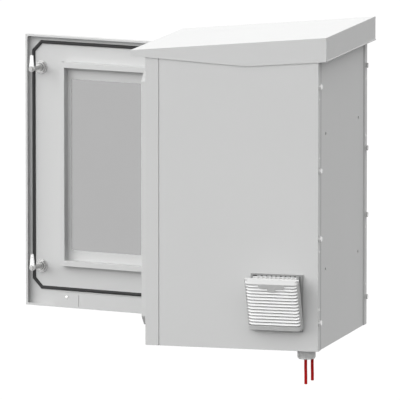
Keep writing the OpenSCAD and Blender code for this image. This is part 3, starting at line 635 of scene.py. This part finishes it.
# Rivet in the foot plate: one domed, zinc-plated blind rivet near the plate's free end, seen as a
# pale dot. It is set in a hole in the plate.
door_pivot = Vector((-0.250, -0.482, 0.0))
open_door = (Matrix.Translation(door_pivot) @ Matrix.Rotation(math.radians(-103.3), 4, "Z")
             @ Matrix.Translation(-door_pivot))
inward = open_door.to_3x3() @ Vector((0.0, 1.0, 0.0))
foot_sizes = {"Head radius": 0.0048, "Head height": 0.0024, "Tail radius": 0.0034,
              "Tail depth": 0.003, "Grip": 0.002, "Stem radius": 0.0012}
grow("foot_plate_rivet", [open_door @ Vector((0.131, -0.473, -0.359))],
     rivet_tree(inward.to_track_quat("Z", "Y").to_euler()), foot_sizes, "door")

# Gasket: one bead of foamed black rubber around the door, half round, with slanted corners.
# It is poured onto the door sheet where the frame's sealing rim meets it.
bead = bmesh.new()
bead_rings = []
for step in range(13):
    turn = math.pi * step / 12
    out = -0.001 + 0.0045 * math.cos(turn)
    depth = -0.489 + 0.005 * math.sin(turn) ** 0.6
    w, z0, z1 = 0.242 + out, -0.3395 - out, 0.3345 + out
    c = 0.025 + out * (2 - math.sqrt(2))
    outline = [(-w + c, z0), (w - c, z0), (w, z0 + c), (w, z1 - c),
               (w - c, z1), (-w + c, z1), (-w, z1 - c), (-w, z0 + c)]
    bead_rings.append([bead.verts.new(open_door @ Vector((x, depth, z))) for x, z in outline])
bead_rings.append(bead_rings[0])
for low, high in zip(bead_rings, bead_rings[1:]):
    for k in range(8):
        bead.faces.new((low[k], low[(k + 1) % 8], high[(k + 1) % 8], high[k]))
bmesh.ops.recalc_face_normals(bead, faces=bead.faces)
gasket = add_piece("door_gasket_bead", smooth(plain_mesh(bead, "door_gasket_bead"), 35), rubber,
                   "door")
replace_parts(gasket, "door_gasket")

# Window: a pane of 4 mm smoked acrylic on the outside of the door.
# A frame of black foam tape holds it to the sheet around the opening.
smoked, at = start_finish("smoked_acrylic")
close_finish(at, {
    "Base Color": at.noise(8.0).tone((0.415, 0.415, 0.415), (0.43, 0.43, 0.43)),
    "Roughness": 0.02,
    "Transmission Weight": 1.0,
    "IOR": 1.49})
round_edges("window_pane", 0.0008, smoked)
dress(rubber, "window_tape")

# Two quarter-turn locks: shield and barrel through the door, washer and nut inside, and a long
# shaft whose cam grips behind the sealing rim. They are plated die castings, the cams bright
# and the rest satin.
bright = metal("bright_plating", (0.86, 0.86, 0.86), (0.93, 0.93, 0.92), 0.2, 160.0, 0.4)
satin = metal("satin_plating", (0.42, 0.42, 0.42), (0.53, 0.53, 0.52), 0.16, 160.0)
for lock_name in ("lock_barrels", "lock_washers", "lock_nuts"):
    round_edges(lock_name, 0.0006, satin)
for level in ("upper", "lower"):
    for lock_name, finish in (("lock_shaft", satin), ("lock_cam", bright), ("cam_screw", satin)):
        round_edges(level + "_" + lock_name, 0.0006, finish)

# Stage: pale floor below the hanging cabinet, white surroundings and soft light.
# The sky grows lighter overhead, a side lamp from the door's side lights the roof and the open
# door, and a low front lamp lights the filter's side.
scene = bpy.context.scene
scene.view_settings.view_transform = "Standard"


def seen_directly(start):
    """1 where the camera, a reflection or a look through glass meets the background."""
    path, glossy, through = [start.node("ShaderNodeLightPath", out=ray) for ray in (
        "Is Camera Ray", "Is Glossy Ray", "Is Transmission Ray")]
    return start.math("MINIMUM", path + glossy + through, 1.0)


floor_finish, at = start_finish("pale_floor")
seen = seen_directly(at)
matt = at.node("ShaderNodeBsdfDiffuse", {
    "Color": seen.tone((0.06, 0.06, 0.06), (0.33, 0.33, 0.33))})
glow = at.node("ShaderNodeEmission", {"Strength": 1.2})
pale = at.node("ShaderNodeMixShader", {0: 0.75 * seen, 1: matt, 2: glow})
behind = at.node("ShaderNodeNewGeometry", out="Backfacing")
clear = at.node("ShaderNodeBsdfTransparent")
one_sided = at.node("ShaderNodeMixShader", {0: behind, 1: pale, 2: clear})
at.node("ShaderNodeOutputMaterial", {"Surface": one_sided})
floor_reach = 60
floor_level = -1.3
floor_mesh = bpy.data.meshes.new("floor")
floor_mesh.from_pydata([(x * floor_reach, y * floor_reach, floor_level)
                        for x, y in ((-1, -1), (1, -1), (1, 1), (-1, 1))], [], [(0, 1, 2, 3)])
floor_mesh.materials.append(floor_finish)
add_object("floor", floor_mesh)

world = bpy.data.worlds.new("white_surroundings")
world.use_nodes = True
world.node_tree.nodes.clear()
sky = Link(world.node_tree)
rise = sky.node("ShaderNodeSeparateXYZ", {
    "Vector": sky.node("ShaderNodeTexCoord", out="Generated")}, out="Z")
overhead = 0.75 + 0.85 * sky.math("MAXIMUM", rise, 0.0)
direct = seen_directly(sky)
light = sky.node("ShaderNodeBackground", {
    "Color": (1.0, 1.0, 1.0, 1.0), "Strength": direct + (1.0 - direct) * overhead})
sky.node("ShaderNodeOutputWorld", {"Surface": light})
scene.world = world

for lamp_name, strength, toward in (("side_lamp", 1.70, (0.310, -0.852, 0.423)),
                                    ("front_lamp", 0.96, (0.925, -0.337, 0.174))):
    lamp = bpy.data.lights.new(lamp_name, "SUN")
    lamp.energy = strength
    lamp.angle = math.radians(50)
    lamp_turn = Vector(toward).to_track_quat("Z", "Y")
    add_object(lamp_name, lamp).rotation_euler = lamp_turn.to_euler()

camera = bpy.data.cameras.new("camera")
camera.lens = 759.2
camera.sensor_width = 36.0
camera.clip_start, camera.clip_end = 1.0, 200.0
camera_object = add_object("camera", camera)
camera_object.location = (21.4382, 5.4906, 2.9700)
view_line = Vector((-0.0061, -0.3914, -0.0338)) - camera_object.location
camera_object.rotation_euler = view_line.to_track_quat("-Z", "Y").to_euler()
scene.camera = camera_object
